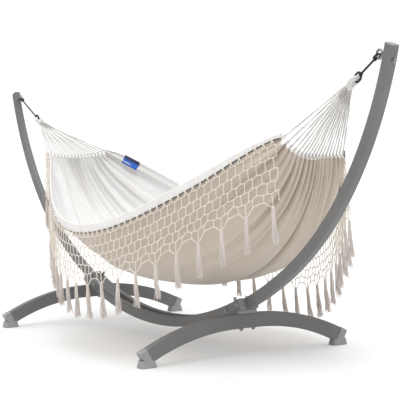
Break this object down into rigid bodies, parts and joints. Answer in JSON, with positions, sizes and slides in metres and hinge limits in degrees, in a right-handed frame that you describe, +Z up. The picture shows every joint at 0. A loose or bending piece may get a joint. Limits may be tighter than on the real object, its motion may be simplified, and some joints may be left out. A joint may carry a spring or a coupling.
{
  "type": "hammock on stand",
  "caption": "Cotton hammock with knotted fringes, hung by ropes and clew cords from a free-standing steel arch stand with arched cross feet.",
  "frame": {"origin": "on the floor under the middle of the arch", "axes": "+X along the stand towards its right arm, -Y the front, +Z up"},
  "size_m": [4.0432, 1.2382, 1.3935],
  "materials": {
    "powder_coat": "satin grey powder coat",
    "cap_plastic": "moulded light grey plastic",
    "zinc_steel": "dull zinc plate",
    "cotton_cloth": "plain woven natural cotton",
    "hem_cotton": "folded and stitched cotton hem",
    "clew_cotton": "twisted cotton cord",
    "fringe_cotton": "knotted cotton cord",
    "black_rope": "braided black polyester rope",
    "label_weave": "blank woven ribbon, navy over blue"
  },
  "bodies": {
    "root": {"arm_base_cap_left": "cap_plastic", "arm_base_cap_right": "cap_plastic", "arm_left": "powder_coat", "arm_right": "powder_coat", "arm_tip_cap_left": "cap_plastic", "arm_tip_cap_right": "cap_plastic", "beam_cap_front_left": "cap_plastic", "beam_cap_front_right": "cap_plastic", "beam_cap_rear_left": "cap_plastic", "beam_cap_rear_right": "cap_plastic", "beam_front": "powder_coat", "beam_rear": "powder_coat", "eye_bolt_left": "zinc_steel", "eye_bolt_nut_left": "zinc_steel", "eye_bolt_nut_right": "zinc_steel", "eye_bolt_right": "zinc_steel", "eye_bolt_washer_left": "zinc_steel", "eye_bolt_washer_right": "zinc_steel", "foot_bevel_washers_left": "zinc_steel", "foot_bevel_washers_right": "zinc_steel", "foot_bolts_left": "zinc_steel", "foot_bolts_right": "zinc_steel", "foot_cap_front_left": "cap_plastic", "foot_cap_front_right": "cap_plastic", "foot_cap_rear_left": "cap_plastic", "foot_cap_rear_right": "cap_plastic", "foot_left": "powder_coat", "foot_right": "powder_coat", "foot_washers_left": "zinc_steel", "foot_washers_right": "zinc_steel", "foot_wing_nuts_left": "zinc_steel", "foot_wing_nuts_right": "zinc_steel", "joint_bolts_left": "zinc_steel", "joint_bolts_right": "zinc_steel", "joint_nuts_left": "zinc_steel", "joint_nuts_right": "zinc_steel", "joint_sleeves_left": "zinc_steel", "joint_sleeves_right": "zinc_steel", "joint_washers_left": "zinc_steel", "joint_washers_right": "zinc_steel", "saddle_left": "cap_plastic", "saddle_right": "cap_plastic"},
    "hammock": {"clew_cords_left": "clew_cotton", "clew_cords_right": "clew_cotton", "fringe_net_front": "fringe_cotton", "fringe_net_rear": "fringe_cotton", "hammock_cloth": "cotton_cloth", "hem_front": "hem_cotton", "hem_rear": "hem_cotton", "label": "label_weave", "rope_knots_left": "black_rope", "rope_knots_right": "black_rope", "rope_left": "black_rope", "rope_loops_left": "black_rope", "rope_loops_right": "black_rope", "rope_right": "black_rope", "tassels_front": "fringe_cotton", "tassels_rear": "fringe_cotton", "wrapped_eye_left": "clew_cotton", "wrapped_eye_right": "clew_cotton"}
  },
  "joints": [
    {"name": "hammock_swing", "type": "hinge", "parent": "root", "child": "hammock", "pos_m": [0, 0, 1.3492], "axis": [1, 0, 0], "range_deg": [-10, 10]}
  ]
}
